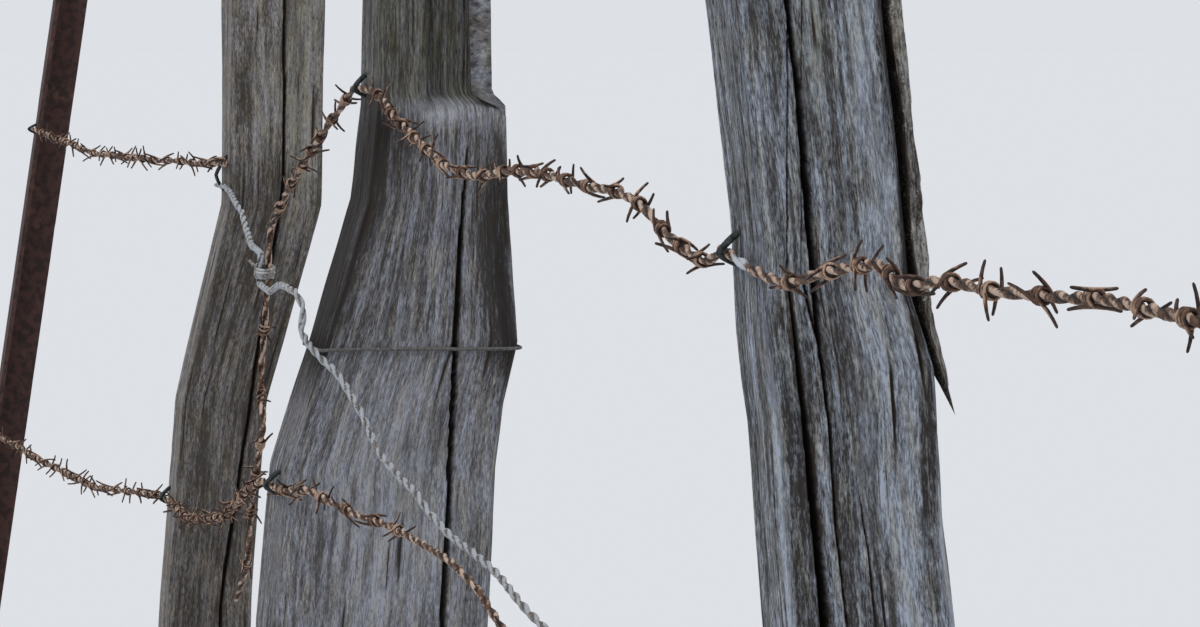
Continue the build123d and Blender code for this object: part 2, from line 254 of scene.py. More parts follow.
def stretched_noise(rows, columns, length, width, seed):
    """White noise smoothed by a Gaussian `length` rows tall and `width` columns wide.

    The smoothing is a product in the frequency domain, so the field repeats without a seam.
    Its mean is 0 and its spread is 1.
    """
    white = np.random.default_rng(seed).standard_normal((rows, columns))
    along = np.fft.fftfreq(rows)[:, None] * length
    across = np.fft.fftfreq(columns)[None] * width
    window = np.exp(-2 * pi**2 * (along**2 + across**2))
    blurred = np.fft.ifft2(np.fft.fft2(white) * window).real
    return (blurred - blurred.mean()) / blurred.std()


def wavering(count, length, seed):
    """The same for a single column."""
    return stretched_noise(count, 1, length, 1, seed)[:, 0]


def smooth_step(low, high, value):
    share = np.clip((value - low) / (high - low), 0, 1)
    return share * share * (3 - 2 * share)


# Posts


@dataclass
class Split:
    """A long drying crack on one side of a post.

    Its stations are height, place across and how open it is, as a share of its half width
    and depth.
    """

    side: int
    stations: tuple
    half: float
    depth: float


@dataclass
class Mark:
    """A band in another tone on one side: height, place across and strength, and its half width.

    Tone is how much paler it is, or darker below zero. Moss is how much greener.
    """

    side: int
    stations: tuple
    half: float
    tone: float
    moss: float = 0.0


@dataclass
class Timber:
    """How finely a post is modelled, and what marks it.

    Its rows are closest in the fine stretch. Trims are heights, and the millimetres that come
    off its front and back there. Its sides that are to look shaded are darkened all over with painted shade.
    """

    node: str
    seed: int
    fine: tuple
    steps: tuple
    columns: tuple
    splits: tuple = ()
    marks: tuple = ()
    edge: float = 7 * MM
    relief: float = 1.0
    trims: tuple = ((0, 0, 0),)
    painted_shade_sides: tuple = ()


def heights_for(timber, foot, head):
    """Row heights from foot to head: close together in the fine stretch and wider apart elsewhere."""
    low, high = timber.fine
    close, wide = timber.steps
    stretches = ((foot, low, wide), (low, high, close), (high, head, close * 2))
    rows = [np.linspace(a, b, max(2, int((b - a) / step) + 1))[:-1] for a, b, step in stretches]
    return np.append(np.concatenate(rows), head)


def column_layout(columns, corner_columns=5):
    """For each column: its side, its share of the way along it, and the way it faces in radians."""
    side, share, facing = [], [], []
    for i, count in enumerate(columns):
        turn = np.linspace(0, 90, corner_columns + 2)[1:-1]
        side.append(np.full(count + corner_columns, i))
        share.append(np.concatenate([np.linspace(0, 1, count), np.ones(corner_columns)]))
        facing.append(np.concatenate([np.zeros(count), turn]) + 90 * (i - 1))
    return np.concatenate(side), np.concatenate(share), np.radians(np.concatenate(facing))


def between_corners(inner, side, share):
    """The share of the way along its side, from each column's inner corner to the next."""
    start = inner[..., side]
    return start + share * (inner[..., (side + 1) % 4] - start)


def wood_relief(z, s, seed, strength):
    """How deep the weathered surface lies at each height and distance round, and the painted shade of its
    hollows, 0 to 1.

    Waves, ridges and fibres are stretched noises of falling width, and small checks open
    where a narrow one is far above its mean.
    """
    tall, wide = FIELD_CELL
    columns = int(s.max() / wide) + 2
    row = np.rint(z / tall).astype(int) % FIELD_ROWS
    column = np.rint(s / wide).astype(int) % columns

    def layer(length, width, number):
        blur = (length * MM / tall, width * MM / wide)
        field = stretched_noise(FIELD_ROWS, columns, *blur, seed * 10 + number)
        return field[row[:, None], column[None]]

    waves = layer(160, 14, 0)
    ridges = layer(60, 2.0, 1)
    fibres = layer(12, 0.7, 2)
    checks = smooth_step(1.7, 2.9, layer(26, 0.8, 3))
    depth = 0.28 * (1.7 + waves) + 0.26 * (1.5 + ridges) + 0.2 * (1.3 + fibres) + 2.2 * checks
    # Painted shade in the hollows: a base darkness, more where ridges and fibres lie deep, and most in the
    # checks.
    hollows = np.clip(0.4 + 0.16 * ridges + 0.22 * fibres, 0, 0.75) + checks
    return np.maximum(depth, 0) * MM * strength, np.clip(hollows, 0, 1)


def split_relief(split, z, across, seed):
    """Depth and painted shade of one crack: depth sqrt(1 - (d / half)^2), for d from its wandering line."""
    stations = np.array(split.stations)
    line = np.interp(z, stations[:, 0], stations[:, 1])
    open_share = np.interp(z, stations[:, 0], stations[:, 2])
    wander = wavering(FIELD_ROWS, 12, seed) * 0.3 + wavering(FIELD_ROWS, 2.2, seed + 1) * 0.12
    line = line + np.interp(z, np.arange(FIELD_ROWS) * FIELD_CELL[0], wander) * MM
    half = np.maximum(split.half * open_share, 1e-6)
    reach = np.abs(across - line[:, None]) / half[:, None]
    depth = split.depth * open_share[:, None] * np.sqrt(np.clip(1 - reach**2, 0, 1))
    shade = np.clip(1.35 - 0.55 * reach, 0, 1) * np.clip(open_share[:, None] * 3, 0, 1)
    return depth, shade


def toned(marks, z, x, y, facing, seed):
    """Tone and moss at each point: strength exp(-(d / half)^2), for d from the mark's line."""
    tone, moss = np.zeros(x.shape), np.zeros(x.shape)
    for number, mark in enumerate(marks):
        stations = np.array(mark.stations)
        line = np.interp(z, stations[:, 0], stations[:, 1])
        strength = np.interp(z, stations[:, 0], stations[:, 2], left=0, right=0)
        line = line + 0.25 * mark.half * wavering(len(z), 8, seed * 100 + 50 + number)
        across = y if mark.side in (NEAR, FAR) else x
        band = strength[:, None] * np.exp(-(((across - line[:, None]) / mark.half) ** 2))
        band = band * (np.cos(facing - pi / 2 * (mark.side - 1)) > 0.3)
        tone += band * mark.tone
        moss += band * mark.moss
    return np.clip(tone, -1, 1), np.clip(moss, 0, 1)


def timber_limits(timber, z, foot, straight):
    """Far, near, front and back of a post at each height, from its solid.

    Above the height `straight`, where the head's slant begins, they run on in a line.
    """
    body = np.minimum(z, straight)
    limits = np.array(extents_at(timber.node, np.clip(body, foot + 1e-5, straight)))
    below = np.array(extents_at(timber.node, np.array([straight - LEAN_RUN, straight])))
    drift = (below[:, 1] - below[:, 0]) / LEAN_RUN
    far, near, front, back = limits + drift[:, None] * (z - body)
    trims = np.array(timber.trims)
    front = front + np.interp(z, trims[:, 0], trims[:, 1]) * MM
    back = back - np.interp(z, trims[:, 0], trims[:, 2]) * MM
    return far, near, front, back


def rounded_columns(timber, z, limits):
    """Side, facing, x and y of columns round a rectangle with rounded corners.

    A column is inner corner + share of the way to the next + radius towards where it faces.
    """
    far, near, front, back = limits
    side, share, facing = column_layout(timber.columns)
    edge = timber.edge * (0.75 + 0.25 * np.sin(z * 17 + timber.seed))
    edge = np.minimum(edge, 0.45 * np.minimum(near - far, back - front))
    inner_x = np.stack([far + edge, near - edge, near - edge, far + edge], axis=1)
    inner_y = np.stack([front + edge, front + edge, back - edge, back - edge], axis=1)
    x = between_corners(inner_x, side, share) + edge[:, None] * np.cos(facing)
    y = between_corners(inner_y, side, share) + edge[:, None] * np.sin(facing)
    return side, facing, x, y


def weathered_depth(timber, z, s, side, x, y):
    """How deep the weather, the cracks and the hollows have sunk each point, and how much painted shade it
    gets.
    """
    depth, shadowed = wood_relief(z, s, timber.seed, timber.relief)
    for number, split in enumerate(timber.splits):
        across = y if split.side in (NEAR, FAR) else x
        cut, shade = split_relief(split, z, across, timber.seed * 100 + number)
        on_side = side == split.side
        depth = np.where(on_side, np.maximum(depth, cut), depth)
        shadowed = np.where(on_side, np.maximum(shadowed, shade), shadowed)
    # Sides that are to look shaded get a darkness of 0.9 all over: painted shade.
    return depth, np.where(np.isin(side, timber.painted_shade_sides), 0.9, shadowed)


def closing_rings(x, y, on_head, seed):
    """Points of the rings that shrink from the last row to its middle, and their places on the end."""
    shrink = 1 - (np.arange(1, HEAD_RINGS) / HEAD_RINGS)[:, None]
    middle_x, middle_y = x.mean(), y.mean()
    ring_x = middle_x + (x - middle_x) * shrink
    ring_y = middle_y + (y - middle_y) * shrink
    grain = stretched_noise(HEAD_RINGS - 1, len(x), 1.2, 3, seed * 10 + 7)
    ring_z = on_head(ring_x, ring_y) - 0.7 * MM * (1.4 + grain) * smooth_step(0, 0.3, 1 - shrink)
    places = np.stack([ring_x - middle_x, ring_y - middle_y, ring_x * 0], -1)
    return np.stack([ring_x, ring_y, ring_z], -1), places


def build_timber(timber, material, shape=None):
    """A post as a grid of rows up and columns round, closed by its head and its foot.

    The relief and `shape` sink the columns, and the head's rings shrink towards the middle on
    the slanting head plane: z = top - (tilt x (x - top x) + tilt y (y - top y)) / tilt z.
    """
    top, tilt = head_plane(timber.node)
    heights = cad_points(timber.node)[:, 2]
    foot, head = heights.min(), heights.max()
    straight = heights[heights > top[2] - HEAD_SLANT].min() - 1 * MM
    z = heights_for(timber, foot, head)
    far, near, front, back = limits = timber_limits(timber, z, foot, straight)
    side, facing, x, y = rounded_columns(timber, z, limits)
    middle = np.argmin(np.abs(z - (foot + head) / 2))
    steps = np.hypot(np.diff(x[middle]), np.diff(y[middle]))
    s = np.concatenate([[0], np.cumsum(steps)])
    columns = len(s)

    tone, moss = toned(timber.marks, z, x, y, facing, timber.seed)
    depth, shadowed = weathered_depth(timber, z, s, side, x, y)
    if shape:
        depth = depth + shape(side, x, y, z)
    depth = np.minimum(depth, 0.4 * np.minimum(near - far, back - front)[:, None])
    x = x - depth * np.cos(facing)
    y = y - depth * np.sin(facing)

    def on_head(x, y):
        return top[2] - (tilt[0] * (x - top[0]) + tilt[1] * (y - top[1])) / tilt[2]

    fit = smooth_step(head - HEAD_FIT, head, z)[:, None]
    height = z[:, None] + fit * (on_head(x, y) - head)
    height -= smooth_step(head - 6 * MM, head, z)[:, None] * 0.6 * MM

    cap, endwise = closing_rings(x[-1], y[-1], on_head, timber.seed)
    rows = np.concatenate([np.stack([x, y, height], -1), cap])
    points = rows.reshape(-1, 3)
    ends = np.array([points[-columns:].mean(0), [x[0].mean(), y[0].mean(), foot]])
    points = np.concatenate([points, ends])
    faces = [
        wrapped_grid(len(rows), columns),
        fan(np.arange(columns) + (len(rows) - 1) * columns, len(points) - 2, True),
        fan(np.arange(columns), len(points) - 1, False),
    ]

    lengthwise = np.stack([np.broadcast_to(s, x.shape), np.broadcast_to(z[:, None], x.shape), x * 0], -1)
    on_end = np.zeros(len(points))
    on_end[x.size:-1] = 1
    on_cap = len(points) - x.size - 2
    looks = {
        "lay": np.concatenate([lengthwise.reshape(-1, 3), endwise.reshape(-1, 3), ends * 0]),
        "on_end": on_end,
        # The head and the foot get an even painted shade.
        "shadowed": np.concatenate([shadowed.ravel(), np.full(on_cap, 0.45), [0.5, 0.5]]),
        "tone": np.concatenate([tone.ravel(), np.zeros(on_cap + 2)]),
        "moss": np.concatenate([moss.ravel(), np.zeros(on_cap + 2)]),
    }
    new_piece(f"weathered_{timber.node}", points, faces, material, [timber.node], looks)


def shoulder(side, x, y, z):
    """The near side of the second post is cut back above a slope, behind its front strip."""
    step = smooth_step(*SHOULDER_RISE, z)[:, None] * smooth_step(*SHOULDER_EDGE, y)
    return np.where(side == NEAR, step * SHOULDER_CUT, 0)


def ragged(side, x, y, z):
    """The loose strip is lumpy all over, most of all at its splintered foot."""
    lumps = stretched_noise(*x.shape, 1.6, 1.2, 81) + 0.9 * stretched_noise(*x.shape, 6, 3, 82)
    rough = np.interp(z, (1.08, 1.12), (0.6, 0.42))[:, None]
    return np.maximum(rough * (1.1 + lumps), 0) * MM


# Wires


def smooth_route(points, step, wander, seed, short=1 * MM):
    """A polyline resampled every `step`, its bends eased by a Gaussian, with a slight random sway.

    It ends a little short of the polyline's ends.
    """
    lengths = np.concatenate([[0], np.cumsum(np.linalg.norm(np.diff(points, axis=0), axis=1))])
    count = int(lengths[-1] / step) + 1
    at = np.linspace(short, lengths[-1] - short, count)
    line = np.stack([np.interp(at, lengths, points[:, k]) for k in range(3)], axis=1)
    reach = int(3 * BEND_EASE / step)
    kernel = np.exp(-0.5 * (np.arange(-reach, reach + 1) * step / BEND_EASE) ** 2)
    kernel /= kernel.sum()
    before = 2 * line[0] - line[reach:0:-1]
    behind = 2 * line[-1] - line[-2:-reach - 2:-1]
    padded = np.concatenate([before, line, behind])
    line = np.stack([np.convolve(padded[:, k], kernel, "valid") for k in range(3)], axis=1)
    sway = [wavering(count, 22 * MM / step, seed + k) for k in (0, 1)]
    line[:, 1:] += np.stack(sway, axis=1) * wander
    return line


def line_frames(line):
    """Tangent and two normals along a line that never runs along Y."""
    tangent = unit(np.gradient(line, axis=0))
    upward = unit(np.cross(tangent, np.array([0.0, 1.0, 0.0])))
    return tangent, np.cross(upward, tangent), upward


def on_tubes(along, around):
    """A value for each point of such tubes: one along each path times one round each ring."""
    rings = (along[:, :, None] * around).reshape(len(along), -1)
    return np.concatenate([rings, along[:, [0, -1]] * around.mean()], axis=1).ravel()


def outer_share(sides):
    """Round a ring, from 1 where it faces out from the strand to 0 where it faces in."""
    return 0.5 + 0.5 * np.cos(full_turn(sides))


def twisted_pair(line, step, pitch, sides, seed):
    """Two plies: line + r (normal cos a + binormal sin a), where a grows by a full turn each pitch."""
    tangent, across, upward = line_frames(line)
    uneven = np.cumsum(1 + 0.25 * wavering(len(line), 60 * MM / step, seed))
    paths, outward = [], []
    for start in (0, pi):
        angle = (start + uneven * step * 2 * pi / pitch)[:, None]
        radial = across * np.cos(angle) + upward * np.sin(angle)
        paths.append(line + radial * (STRAND_R - PLY_R))
        outward.append(radial)
    scale = stretched_noise(len(line), 2, 1, 0, seed + 5).T
    radii = PLY_R * (1 + 0.05 * scale)
    points, faces = tubes(np.array(paths), np.array(outward), radii, sides)
    return points, faces, on_tubes(np.ones((2, len(line))), outer_share(sides))


def barb_frames(node, line):
    """Seat, strand direction and outward direction of each barb on the solids.

    A barb's corners are those near one place on the strand. The least of their principal
    axes points out from the strand.
    """

    def nearest(places):
        return np.array([np.argmin(((line - place) ** 2).sum(1)) for place in places])

    points = cad_points(node)
    station = nearest(points)
    order = np.argsort(station, kind="stable")
    steps = np.diff(station[order]) * np.linalg.norm(line[1] - line[0])
    groups = np.split(points[order], np.flatnonzero(steps > BARB_REACH) + 1)
    seats = np.array([group.mean(0) for group in groups])
    radial = np.array([spread_axis(group, 0) for group in groups])
    at = nearest(seats)
    axis = line_frames(line)[0][at]
    return line[at], axis, unit(radial - (radial * axis).sum(1, keepdims=True) * axis)


def barb_wires(seats, axis, radial, per_turn, sides, seed):
    """Barbs of two wires each: straight point, coil round the strand, straight point.

    For the coil's angle a, clipped to its turns, and the length b that runs past it:
    seat + axis a advance + R (radial cos a + tangent sin a) + b (direction at a).
    """
    random = np.random.default_rng(seed)
    count = len(seats)
    coil = np.linspace(0, 2 * pi * BARB_TURNS, BARB_TURNS * per_turn + 1)
    tail = np.array([1, 0.94, 0.7, 0.4, 0.14])
    angle = np.concatenate([tail * 0, coil, np.full(len(tail), coil[-1])])
    past = np.concatenate([-tail, coil * 0, tail[::-1]])
    taper = np.interp(np.abs(past), [0, 0.4, 0.94, 1], [1, 0.94, 0.7, 0.4])
    advance = COIL_LEAD * 2 * BARB_R / (2 * pi)
    ring = STRAND_R * COIL_SNUG + BARB_R
    sideways = np.cross(axis, radial)
    paths, normals = [], []
    for half in (0, pi):
        lean = BARB_LEAN * random.uniform(-0.4, 1.6, (count, 1, 1))
        reach = BARB_REACH * random.uniform(0.55, 0.9, (count, 1, 1))
        curl = random.uniform(-0.25, 0.3, (count, 1, 1)) * reach
        offset = random.uniform(-0.4, 0.4, (count, 1, 1)) * MM + (half - pi / 2) * advance
        turn = (angle + half)[None, :, None]
        out = radial[:, None] * np.cos(turn) + sideways[:, None] * np.sin(turn)
        tangent = sideways[:, None] * np.cos(turn) - radial[:, None] * np.sin(turn)
        direction = tangent * np.cos(lean) + axis[:, None] * np.sin(lean)
        along = (angle - coil[-1] / 2)[None, :, None] * advance + offset
        path = seats[:, None] + axis[:, None] * along + out * ring
        bend = out * curl * (past**2)[None, :, None]
        paths.append(path + direction * past[None, :, None] * reach + bend)
        normals.append(out)
    radii = BARB_R * taper[None] * random.uniform(0.9, 1.08, (2 * count, 1))
    points, faces = tubes(np.concatenate(paths), np.concatenate(normals), radii, sides)
    wires = np.ones((2 * count, 1))
    outer = on_tubes(np.broadcast_to(wires, (2 * count, len(past))), outer_share(sides))
    return points, faces, {"outer": outer, "tip": on_tubes(wires * np.abs(past), np.ones(sides))}


def build_strand(name, seed, step, sides, barb_sides, per_turn):
    """A twisted strand and its barbs, on the route and the seats of their solids."""
    line = smooth_route(centre_line(f"{name}_strand"), step, 0.25 * MM, seed)
    points, faces, outer = twisted_pair(line, step, STRAND_PITCH, sides, seed)
    bare = np.exp(-(((points[:, 0] - BARE_PLACE[0]) / BARE_PLACE[1]) ** 2)) * (name == "top")
    looks = {"outer": outer, "bare": bare}
    new_piece(
        f"twisted_{name}_strand", points, faces, strand_rust, [f"{name}_strand"], looks
    )
    seats, axis, radial = barb_frames(f"{name}_barbs", line)
    points, faces, looks = barb_wires(seats, axis, radial, per_turn, barb_sides, seed + 50)
    new_piece(
        f"pointed_{name}_barbs", points, faces, barb_rust, [f"{name}_barbs"], looks
    )


def build_repair_wire(step=5 * MM, seed=31):
    line = smooth_route(centre_line("repair_wire"), step, 0.4 * MM, seed)
    points, faces, outer = twisted_pair(line, step, REPAIR_PITCH, 8, seed + 1)
    new_piece(
        "twisted_repair_wire", points, faces, zinc_wire, ["repair_wire"], {"outer": outer}
    )


# Small ironwork


def solids_by_height(node, gap):
    """The node's corners in groups that lie more than `gap` apart in height, lowest first."""
    points = cad_points(node)
    points = points[np.argsort(points[:, 2])]
    return np.split(points, np.flatnonzero(np.diff(points[:, 2]) > gap) + 1)


def staple_path(corners, sink, askew=0.0, bend_back=0.0):
    """A staple's wire, from one end to the other.

    The crown is centre + along half cos a + outward reach (1 - |cos a|^1.35) for a over half a
    turn, its upper half drawn up by `askew`, and two legs run on from it into what it holds.
    """
    flat = corners[:, [0, 2]]
    lean = spread_axis(flat, 1)
    along = np.array([lean[0], 0, lean[1]]) * np.sign(lean[1])
    face_y = corners[:, 1].max()
    reach = face_y - corners[:, 1].min() - STAPLE_R
    half = (flat @ lean).max() - (flat @ lean).min()
    half = half / 2 - STAPLE_R
    middle = np.array([flat[:, 0].mean(), face_y, flat[:, 1].mean()])
    turn = np.linspace(0, pi, 17)
    outward = 1 - np.abs(np.cos(turn)) ** 1.35
    rise = half * np.cos(turn) + askew * np.maximum(np.cos(turn), 0)
    crown = middle + along * rise[:, None] + np.array([0, -1, 0]) * reach * outward[:, None]
    depths = np.linspace(1, 0.25, 4)[:, None] * sink
    starts = (along * (half + askew), -along * half)
    legs = [middle + start + np.array([0, 1, 0]) * depths for start in starts]
    for way, leg in zip((1, -1), legs):
        leg[0] += along * bend_back * way
    return np.concatenate([legs[0], crown, legs[1][::-1]])


def build_staples(node, radius, sides, sink, askew=0.0, bend_back=0.0):
    """Every staple of a node as one mesh of round wires, thickest in the upper part of the crown.

    For the share t of the wire's length, its radius goes with 0.74 + 0.36 sin(pi t^0.8)^0.8
    + 0.16 cos(pi t).
    """
    groups = solids_by_height(node, 12 * MM)
    paths = np.array([staple_path(group, sink, askew, bend_back) for group in groups])
    tangents = unit(np.gradient(paths, axis=1))
    normals = np.cross(tangents, np.array([1.0, 0.0, 0.0]))
    share = np.linspace(0, 1, paths.shape[1])
    radii = radius * (0.74 + 0.36 * np.sin(pi * share ** 0.8) ** 0.8 + 0.16 * np.cos(pi * share))
    points, faces = tubes(paths, normals, radii[None], sides)
    new_piece(f"driven_{node}", points, faces, staple_steel, [node])


def build_knot(turns=4.5, wide_r=7.3 * MM, thin_r=5.6 * MM, tail_length=7 * MM):
    """Tie wire wound round the pair of wires: an oval helix, axis t + wide cos a + thin sin a, and a tail."""
    corners = cad_points("splice_knot")
    middle = corners.mean(0)
    axis = spread_axis(corners - middle, 0)
    axis *= np.sign(axis[2])
    wide = unit(np.array([0.0, 1.0, 0.0]) - axis * axis[1])
    thin = np.cross(axis, wide)
    along = ((corners - middle) @ axis).max() - WRAP_R
    angle = np.linspace(0, 2 * pi * turns, 90)
    uneven = 0.5 * MM * np.sin(angle * 0.61)
    t = (angle / angle[-1] * 2 - 1) * along
    path = middle + axis * t[:, None] + wide * (np.cos(angle) * wide_r + uneven)[:, None]
    path += thin * (np.sin(angle) * thin_r + uneven)[:, None]
    tail = np.outer(np.linspace(0.2, 1, 5), tail_length * unit(thin * 0.5 + axis * 0.5 - wide * 0.6))
    path = np.concatenate([path, path[-1] + tail])
    tangents = unit(np.gradient(path, axis=0))
    points, faces = tubes(path[None], np.cross(tangents, axis)[None], WRAP_R, 8)
    new_piece("wound_splice_knot", points, faces, knot_wire, ["splice_knot"])


def build_wrap(radius=8 * MM, lapped=5):
    """A turn of wire round the second post: a rectangle with rounded corners, its ends lapped."""
    corners = cad_points("wire_wrap")
    low, high = corners.min(0) + WRAP_R, corners.max(0) - WRAP_R
    side, share, facing = column_layout((16, 20, 16, 20), 6)
    order = np.arange(-lapped, len(side) + lapped + 1) % len(side)
    side, share, facing = side[order], share[order], facing[order]
    inner_x = np.array([low[0], high[0], high[0], low[0]]) + radius * np.array([1, -1, -1, 1])
    inner_y = np.array([low[1], low[1], high[1], high[1]]) + radius * np.array([1, 1, -1, -1])
    x = between_corners(inner_x, side, share) + radius * np.cos(facing)
    y = between_corners(inner_y, side, share) + radius * np.sin(facing)
    lap = np.linspace(-1, 1, len(x)) ** 9 * 0.6 * WRAP_R
    sway = wavering(len(x), 6, 77) * 0.35 * MM
    path = np.stack([x, y, (low[2] + high[2]) / 2 + lap + sway], axis=1)
    upward = np.broadcast_to(np.array([0.0, 0.0, 1.0]), path.shape)
    points, faces = tubes(path[None], upward[None], WRAP_R * 0.95, 8)
    new_piece("lapped_wire_wrap", points, faces, band_wire, ["wire_wrap"])


def build_stake(leg=40 * MM, steel=5 * MM, soft=0.9 * MM, rows=180, run_points=6):
    """A rolled angle with softened corners, its outline carried up the lean of the solid."""
    corners = np.array([[0, 0], [leg, 0], [leg, steel], [steel, steel], [steel, leg], [0, leg]])
    before, after = np.roll(corners, 1, axis=0), np.roll(corners, -1, axis=0)
    start = corners + unit(before - corners) * soft
    end = corners + unit(after - corners) * soft
    middle = corners + (start + end - 2 * corners) * 0.5 * 0.6
    shares = np.linspace(0, 1, run_points + 2)[1:-1, None, None]
    runs = end + shares * (np.roll(start, -1, axis=0) - end)
    outline = np.concatenate([[start, middle, end], runs]).transpose(1, 0, 2).reshape(-1, 2)
    heights = cad_points("steel_stake")[:, 2]
    foot, head = heights.min(), heights.max()
    z = np.linspace(foot, head, rows)
    far, near, front, back = extents_at("steel_stake", np.clip(z, foot + 1e-5, head - 1e-5))
    inward = unit(np.array([leg * 0.3, leg * 0.3]) - outline)
    pits = np.clip(stretched_noise(rows, len(outline), 1.2, 0.8, 90), 0, 2) * 0.22 * MM
    x = far[:, None] + outline[:, 0] + inward[:, 0] * pits
    y = front[:, None] + outline[:, 1] + inward[:, 1] * pits
    points = np.stack([x, y, np.broadcast_to(z[:, None], x.shape)], axis=-1).reshape(-1, 3)
    count = len(outline)
    lid = np.arange(count)[None] + (rows - 1) * count
    faces = [wrapped_grid(rows, count), lid, np.arange(count)[None, ::-1]]
    new_piece("rolled_steel_stake", points, faces, stake_rust, ["steel_stake"])


# Materials


def node_group(name, vector, colors, amounts, values=()):
    """An empty shader group that takes a vector, colours and amounts, and puts out a colour and values."""
    group = bpy.data.node_groups.new(name, "ShaderNodeTree")
    taken = [(vector, "Vector", (0, 0, 0))]
    taken += [(label, "Color", (1, 1, 1, 1)) for label in colors]
    taken += [(label, "Float", amount) for label, amount in amounts.items()]
    for label, kind, value in taken:
        socket = group.interface.new_socket(label, in_out="INPUT", socket_type=f"NodeSocket{kind}")
        socket.default_value = value
    group.interface.new_socket("Color", in_out="OUTPUT", socket_type="NodeSocketColor")
    for label in values:
        group.interface.new_socket(label, in_out="OUTPUT", socket_type="NodeSocketFloat")
    return group, group.nodes.new("NodeGroupInput").outputs, group.nodes.new("NodeGroupOutput").inputs


def put(tree, socket, value):
    if isinstance(value, bpy.types.NodeSocket):
        tree.links.new(value, socket)
    else:
        socket.default_value = value


def calculate(tree, operation, *values, clamp=False):
    node = tree.nodes.new("ShaderNodeMath")
    node.operation = operation
    node.use_clamp = clamp
    for socket, value in zip(node.inputs, values):
        put(tree, socket, value)
    return node.outputs[0]


def scaled(tree, value, factor, plus=0.0, clamp=False):
    """value * factor + plus"""
    return calculate(tree, "MULTIPLY_ADD", value, factor, plus, clamp=clamp)


def stretch(tree, vector, scale, shift=(0, 0, 0)):
    node = tree.nodes.new("ShaderNodeVectorMath")
    node.operation = "MULTIPLY_ADD"
    for socket, value in zip(node.inputs, (vector, scale, shift)):
        put(tree, socket, value)
    return node.outputs[0]


def noise(tree, vector, scale=1.0, detail=2.0, rough=0.5):
    node = tree.nodes.new("ShaderNodeTexNoise")
    for label, value in (("Vector", vector), ("Scale", scale), ("Detail", detail), ("Roughness", rough)):
        put(tree, node.inputs[label], value)
    return node.outputs["Fac"]


def blend(tree, share, first, second, mode="MIX"):
    """Two colours mixed. They are the node's sockets 6 and 7, and its third output."""
    node = tree.nodes.new("ShaderNodeMix")
    node.data_type = "RGBA"
    node.blend_type = mode
    put(tree, node.inputs["Factor"], share)
    put(tree, node.inputs[6], first)
    put(tree, node.inputs[7], second)
    return node.outputs[2]


def ramp(tree, value, low, high):
    """0 below low, 1 above high, smooth between."""
    node = tree.nodes.new("ShaderNodeMapRange")
    node.interpolation_type = "SMOOTHSTEP"
    for label, number in (("Value", value), ("From Min", low), ("From Max", high)):
        put(tree, node.inputs[label], number)
    return node.outputs[0]


def attribute(tree, name):
    node = tree.nodes.new("ShaderNodeAttribute")
    node.attribute_name = name
    return node.outputs


def from_srgb(red, green, blue):
    """A colour given in the usual 0 to 255 numbers, as the linear values that sockets hold."""
    share = np.array([red, green, blue]) / 255
    linear = np.where(share <= 0.04045, share / 12.92, ((share + 0.055) / 1.055) ** 2.4)
    return (*map(float, linear), 1.0)


